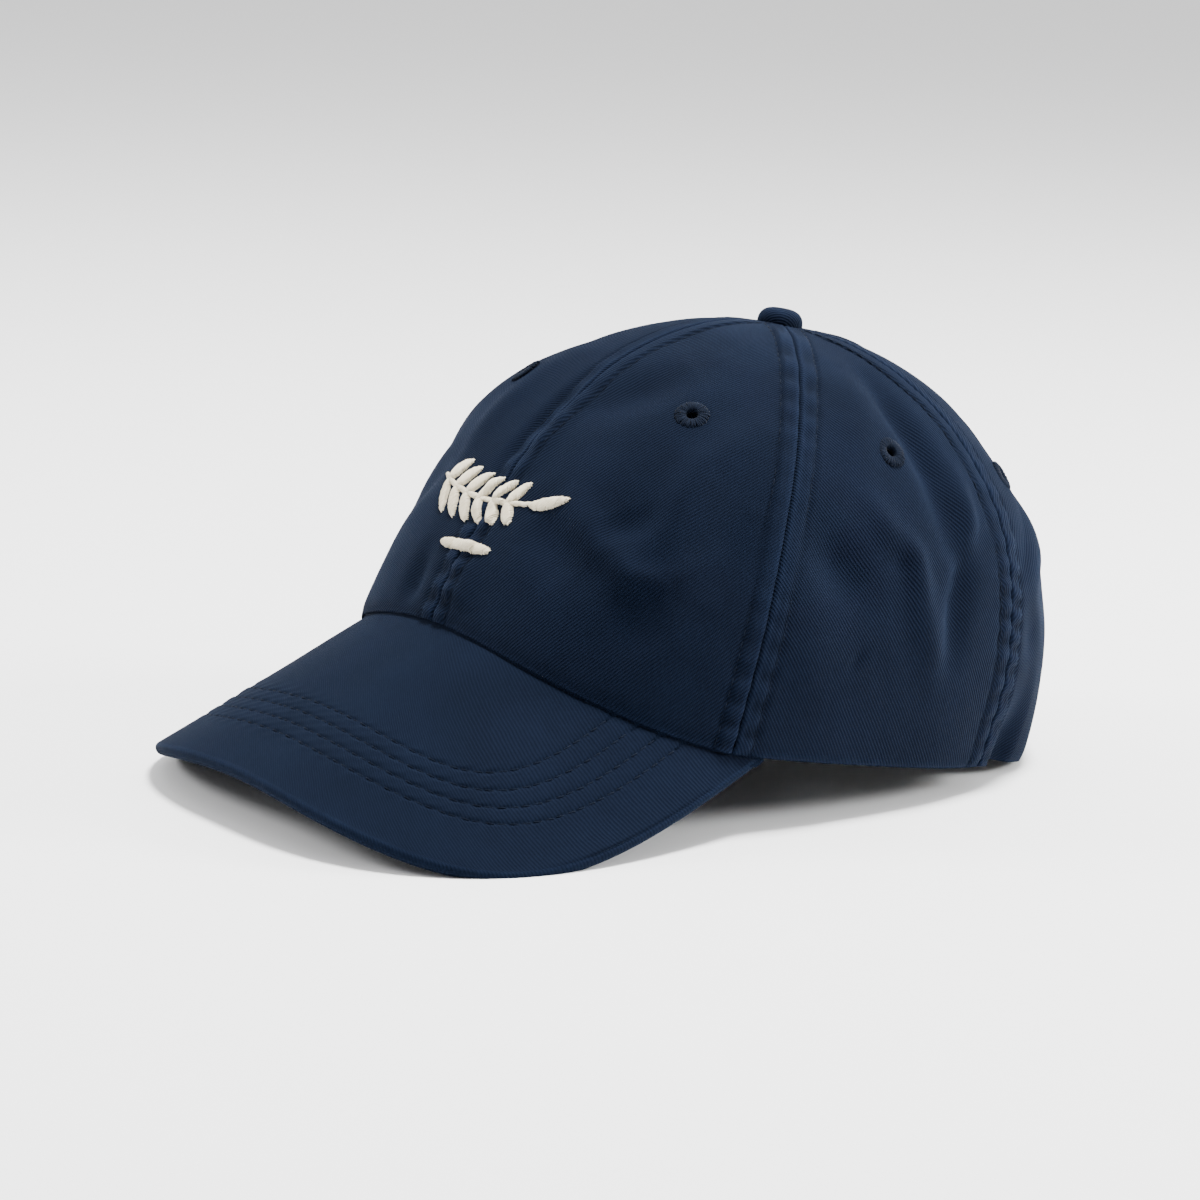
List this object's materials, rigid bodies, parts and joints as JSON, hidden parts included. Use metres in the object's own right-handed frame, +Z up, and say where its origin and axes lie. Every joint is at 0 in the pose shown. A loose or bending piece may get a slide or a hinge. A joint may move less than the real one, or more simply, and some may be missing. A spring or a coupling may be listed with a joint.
{
  "type": "baseball cap",
  "caption": "Six-panel cotton twill baseball cap with a curved peak, covered top button, sewn eyelets, inner sweatband and an adjustable back strap with a metal clamp buckle.",
  "frame": {"origin": "on the table, under the middle of the bounding box of the cap as it stands", "axes": "+Z up; the peak points towards -Y and the closure is at +Y; +X is the wearer's left"},
  "size_m": [0.1678, 0.2629, 0.131],
  "materials": {
    "navy_twill": "washed navy cotton chino twill, fine diagonal weave, matt with a faint sheen",
    "navy_lining": "plain navy cotton of the sweatband and the seam tapes",
    "navy_thread": "navy sewing thread, slight sheen",
    "cream_thread": "cream satin-stitch embroidery thread",
    "board_plastic": "flexible moulded sheet inside the peak",
    "brass": "antiqued stamped brass",
    "steel": "plain plated steel",
    "label_cloth": "blank white woven label"
  },
  "bodies": {
    "cap": {"front_panel_left": "navy_twill", "front_panel_right": "navy_twill", "side_panel_left": "navy_twill", "side_panel_right": "navy_twill", "back_panel_left": "navy_twill", "back_panel_right": "navy_twill", "eyelet_front_left": "navy_thread", "eyelet_front_right": "navy_thread", "eyelet_side_left": "navy_thread", "eyelet_side_right": "navy_thread", "eyelet_back_left": "navy_thread", "eyelet_back_right": "navy_thread", "button_cover": "navy_twill", "button_shell": "steel", "button_rivet": "steel", "peak_top_cover": "navy_twill", "peak_board": "board_plastic", "peak_under_cover": "navy_twill", "peak_stitching_1": "navy_thread", "peak_stitching_2": "navy_thread", "peak_stitching_3": "navy_thread", "peak_stitching_4": "navy_thread", "motif_sprig": "cream_thread", "motif_bar": "cream_thread", "seam_tape_front": "navy_lining", "seam_tape_front_left": "navy_lining", "seam_tape_front_right": "navy_lining", "seam_tape_back_left": "navy_lining", "seam_tape_back_right": "navy_lining", "seam_tape_back": "navy_lining", "sweatband": "navy_lining", "care_label": "label_cloth", "arch_binding": "navy_twill", "strap_tab": "navy_twill", "buckle_frame": "brass", "buckle_pin": "steel"},
    "strap": {"strap": "navy_twill"},
    "buckle_lever": {"buckle_lever": "brass"}
  },
  "joints": [
    {"name": "strap_slide", "type": "hinge", "parent": "cap", "child": "strap", "pos_m": [0, 0.0481, 0.02855], "axis": [0, -0.1942, -0.981], "range_deg": [-9.4, 9.4]},
    {"name": "buckle_lever_hinge", "type": "hinge", "parent": "cap", "child": "buckle_lever", "pos_m": [-0.00544, 0.12801, 0.01273], "axis": [0, 0.1942, 0.981], "range_deg": [0, 100]}
  ]
}
